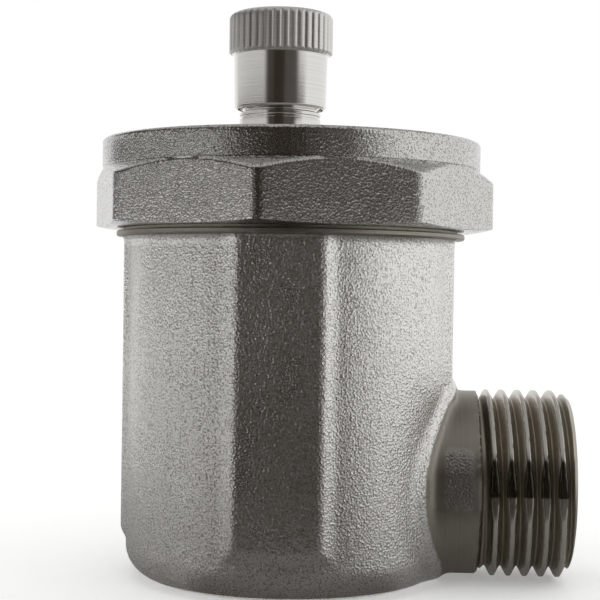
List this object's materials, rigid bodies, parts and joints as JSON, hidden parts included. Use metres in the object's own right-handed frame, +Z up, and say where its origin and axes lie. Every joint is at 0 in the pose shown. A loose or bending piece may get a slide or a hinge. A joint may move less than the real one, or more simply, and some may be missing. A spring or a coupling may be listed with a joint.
{
  "type": "air release valve",
  "caption": "Nickel-plated brass automatic air release valve with a side G 1/2 inlet, octagon cover, float, lever and knurled dust cap",
  "frame": {"origin": "on the axis of the body, in the plane of its flat base", "axes": "+Z up along the body's axis, +X along the side inlet, outwards"},
  "size_m": [0.0545, 0.0456, 0.0636],
  "materials": {
    "nickel_forging": "shot-blasted forging, nickel plated",
    "nickel_turned": "turned and nickel plated",
    "jet_brass": "turned, bare",
    "seal_rubber": "moulded, matt",
    "float_plastic": "moulded, satin",
    "bracket_plastic": "moulded, satin",
    "spring_steel": "drawn stainless wire"
  },
  "bodies": {
    "valve": {"body": "nickel_forging", "cover": "nickel_turned", "cover_seal": "seal_rubber", "jet": "jet_brass", "jet_seal": "seal_rubber", "lever_bracket": "bracket_plastic", "pivot_pin": "spring_steel", "lever_spring": "spring_steel"},
    "cap_lift_body": {"cap_gasket": "seal_rubber"},
    "cap": {"dust_cap": "nickel_turned"},
    "float": {"float_cup": "float_plastic", "float_lid": "float_plastic", "float_link": "spring_steel"},
    "lever_arm": {"lever": "float_plastic", "valve_pad": "seal_rubber"}
  },
  "joints": [
    {"name": "cap_lift", "type": "slide", "parent": "valve", "child": "cap_lift_body", "axis": [0, 0, 1], "range_m": [0, 0.003]},
    {"name": "cap_turn", "type": "hinge", "parent": "cap_lift_body", "child": "cap", "pos_m": [-0.0014, 0, 0.058], "axis": [0, 0, 1], "range_deg": [0, 1080]},
    {"name": "float_rise", "type": "slide", "parent": "valve", "child": "float", "axis": [0, 0, 1], "range_m": [0, 0.0026]},
    {"name": "lever_tilt", "type": "hinge", "parent": "valve", "child": "lever_arm", "pos_m": [-0.008, 0, 0.0395], "axis": [0, -1, 0], "range_deg": [0, 10.4], "deforming": ["lever_spring"]}
  ],
  "couplings": [
    {"joint": "cap_lift", "follows": "cap_turn", "m_per_rad": 0.00015915},
    {"joint": "lever_tilt", "follows": "float_rise", "rad_per_m": 69.3}
  ]
}
